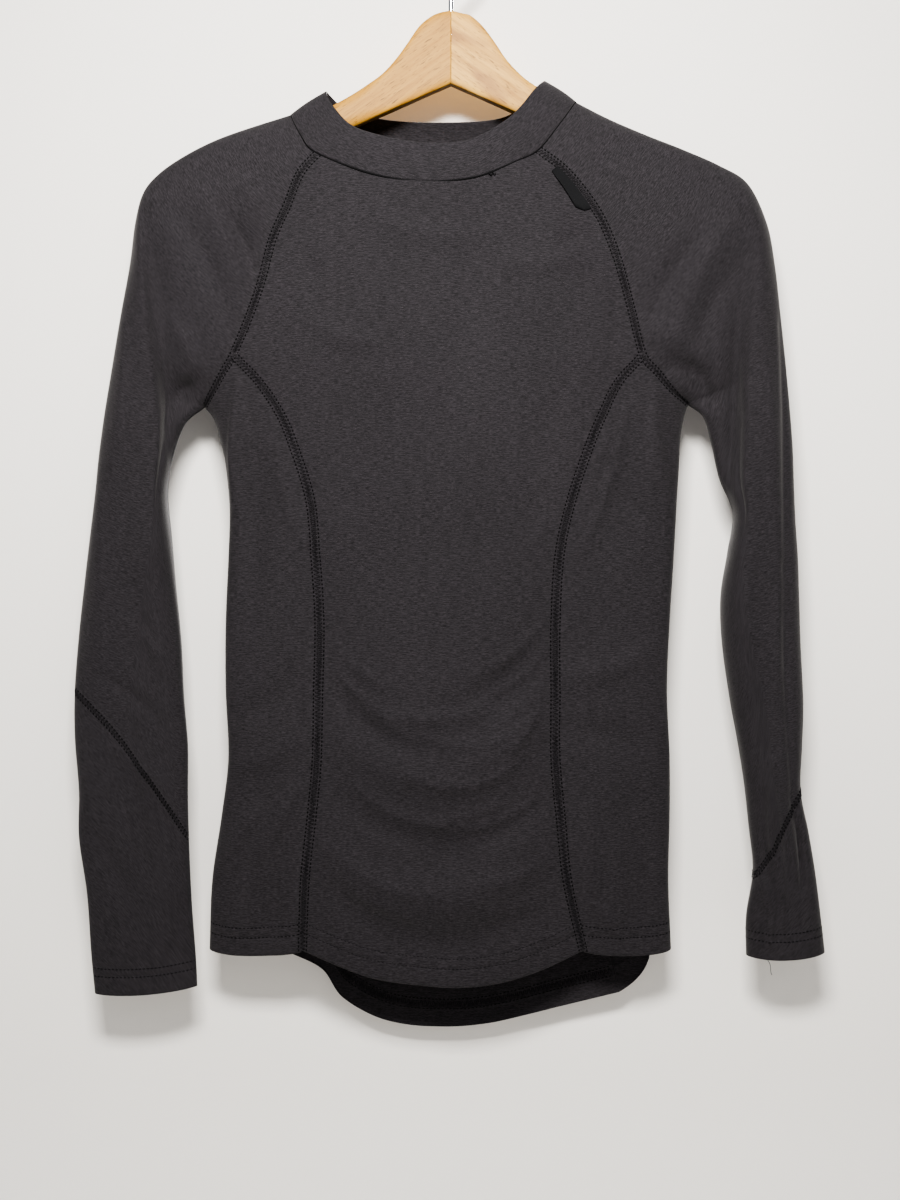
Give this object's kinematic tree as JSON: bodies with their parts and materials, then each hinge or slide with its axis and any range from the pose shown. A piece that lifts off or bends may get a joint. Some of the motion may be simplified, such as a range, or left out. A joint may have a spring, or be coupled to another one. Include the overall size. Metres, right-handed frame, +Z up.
{
  "type": "long-sleeved base layer top on a wooden hanger",
  "caption": "Close-fitting long-sleeved base layer top with raglan sleeves, shaped side panels, a crew neckband and a dropped back hem, hanging on a contoured wooden hanger.",
  "frame": {"origin": "inside top of the hanger's hook, where a rail carries it", "axes": "+X to the viewer's right, -Y towards the viewer on the garment's front, +Z up"},
  "size_m": [0.5597, 0.0671, 0.8315],
  "materials": {
    "jersey": "fine near-black heather jersey, matt",
    "tape": "bare black woven tape",
    "beech": "pale beech, satin lacquer",
    "chrome": "bright plated wire"
  },
  "bodies": {
    "root": {"front_panel": "jersey", "back_panel": "jersey", "side_panel_left": "jersey", "side_panel_right": "jersey", "sleeve_left": "jersey", "sleeve_right": "jersey", "forearm_left": "jersey", "forearm_right": "jersey", "neckband": "jersey", "seam_tab": "tape", "hanger_left": "beech", "hanger_right": "beech", "hook": "chrome"}
  },
  "joints": []
}
